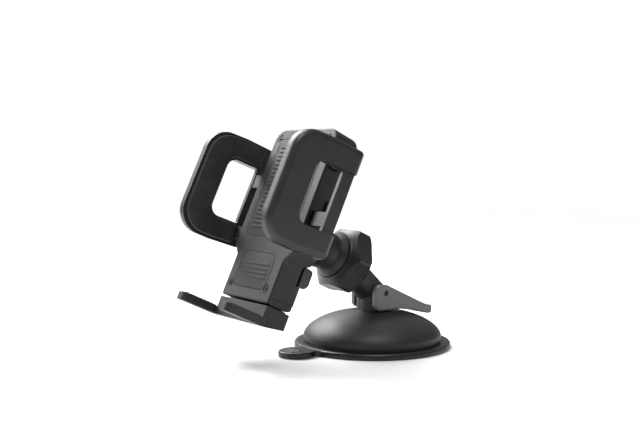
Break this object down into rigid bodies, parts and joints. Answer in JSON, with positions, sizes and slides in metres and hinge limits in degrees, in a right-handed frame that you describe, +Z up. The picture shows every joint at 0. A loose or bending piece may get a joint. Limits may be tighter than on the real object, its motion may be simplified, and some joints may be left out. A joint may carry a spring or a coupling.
{
  "type": "car phone mount",
  "caption": "Suction-cup phone mount with a lock lever, a clamped ball joint and a leaning cradle with sprung side arms and a sliding foot.",
  "frame": {"origin": "centre of the suction pad's underside, on the surface that it stands on", "axes": "+Z up from the surface, +X along the width of the phone, -Y towards the driver who looks at the phone; the model is symmetric about the YZ plane apart from its rack bars, release button and pawl"},
  "size_m": [0.082, 0.1408, 0.1102],
  "materials": {
    "pad_rubber": "soft matt moulded rubber",
    "base_plastic": "fine satin moulded ABS",
    "lever_plastic": "satin moulded nylon, mid grey",
    "stem_plastic": "satin moulded acetal",
    "nut_plastic": "satin moulded ABS",
    "case_plastic": "satin moulded ABS",
    "arm_plastic": "fine textured ABS",
    "foot_plastic": "satin moulded ABS",
    "button_plastic": "satin moulded ABS",
    "grip_rubber": "soft matt elastomer",
    "nylon": "natural nylon",
    "pin_steel": "turned steel",
    "screw_steel": "blackened steel",
    "spring_steel": "drawn spring wire"
  },
  "bodies": {
    "base": {"suction_pad": "pad_rubber", "base_ring": "base_plastic", "base_dome": "base_plastic", "rod_spring": "spring_steel"},
    "lever": {"lever": "lever_plastic", "lever_pin": "pin_steel"},
    "pull_rod": {"pull_rod": "pin_steel", "pull_plate": "pin_steel"},
    "ball": {"ball_stem": "stem_plastic"},
    "friction_ring": {"friction_ring": "nylon"},
    "cradle": {"socket": "case_plastic", "socket_screws": "screw_steel", "rear_cover": "case_plastic", "front_plate": "case_plastic", "face_pads": "grip_rubber", "case_screws": "screw_steel", "pinion_axle": "pin_steel", "right_arm_spring": "spring_steel", "left_arm_spring": "spring_steel", "release_spring": "spring_steel", "latch_springs": "spring_steel"},
    "clamp_nut": {"clamp_nut": "nut_plastic"},
    "right_arm": {"right_arm": "arm_plastic", "right_arm_pad": "grip_rubber"},
    "left_arm": {"left_arm": "arm_plastic", "left_arm_pad": "grip_rubber"},
    "pinion": {"pinion": "nylon"},
    "release_button": {"release_button": "button_plastic"},
    "foot": {"foot": "foot_plastic", "foot_pads": "grip_rubber"},
    "foot_latch": {"foot_latch": "button_plastic"}
  },
  "joints": [
    {"name": "lever_hinge", "type": "hinge", "parent": "base", "child": "lever", "pos_m": [0, 0.0008, 0.028], "axis": [1, 0, 0], "range_deg": [0, 88]},
    {"name": "rod_slide", "type": "slide", "parent": "base", "child": "pull_rod", "axis": [0, 0, -1], "range_m": [0, 0.001], "deforming": ["rod_spring", "suction_pad"]},
    {"name": "ball_swivel", "type": "hinge", "parent": "base", "child": "ball", "pos_m": [0, -0.0201, 0.04602], "axis": [0, 0.7302, -0.6833], "range_deg": [-20, 20]},
    {"name": "ball_tilt", "type": "hinge", "parent": "ball", "child": "friction_ring", "pos_m": [0, -0.0201, 0.04602], "axis": [-1, 0, 0], "range_deg": [-8, 30]},
    {"name": "cradle_roll", "type": "hinge", "parent": "friction_ring", "child": "cradle", "pos_m": [0, -0.0201, 0.04602], "axis": [0, 0.9063, -0.4226], "range_deg": [-90, 90]},
    {"name": "nut_turn", "type": "hinge", "parent": "cradle", "child": "clamp_nut", "pos_m": [0, -0.0201, 0.04602], "axis": [0, 0.9063, -0.4226], "range_deg": [0, 180]},
    {"name": "arm_slide", "type": "slide", "parent": "cradle", "child": "right_arm", "axis": [1, 0, 0], "range_m": [-0.0075, 0.013], "deforming": ["right_arm_spring"]},
    {"name": "left_arm_slide", "type": "slide", "parent": "cradle", "child": "left_arm", "axis": [-1, 0, 0], "range_m": [-0.0075, 0.013], "deforming": ["left_arm_spring"]},
    {"name": "pinion_spin", "type": "hinge", "parent": "cradle", "child": "pinion", "pos_m": [0, -0.05271, 0.07667], "axis": [0, -0.9063, 0.4226], "range_deg": [-71.7, 124.2]},
    {"name": "release_press", "type": "slide", "parent": "cradle", "child": "release_button", "axis": [-1, 0, 0], "range_m": [0, 0.0012], "stiffness_N_per_m": 300, "springref_m": -0.001, "deforming": ["release_spring"]},
    {"name": "foot_slide", "type": "slide", "parent": "cradle", "child": "foot", "axis": [0, -0.4226, -0.9063], "range_m": [0, 0.014]},
    {"name": "latch_press", "type": "slide", "parent": "cradle", "child": "foot_latch", "axis": [0, -0.9063, 0.4226], "range_m": [0, 0.001], "stiffness_N_per_m": 400, "springref_m": -0.001, "deforming": ["latch_springs"]}
  ],
  "couplings": [
    {"joint": "rod_slide", "follows": "lever_hinge", "m_per_rad": 0.00065102},
    {"joint": "left_arm_slide", "follows": "arm_slide", "ratio": 1},
    {"joint": "pinion_spin", "follows": "arm_slide", "rad_per_m": 166.67}
  ]
}
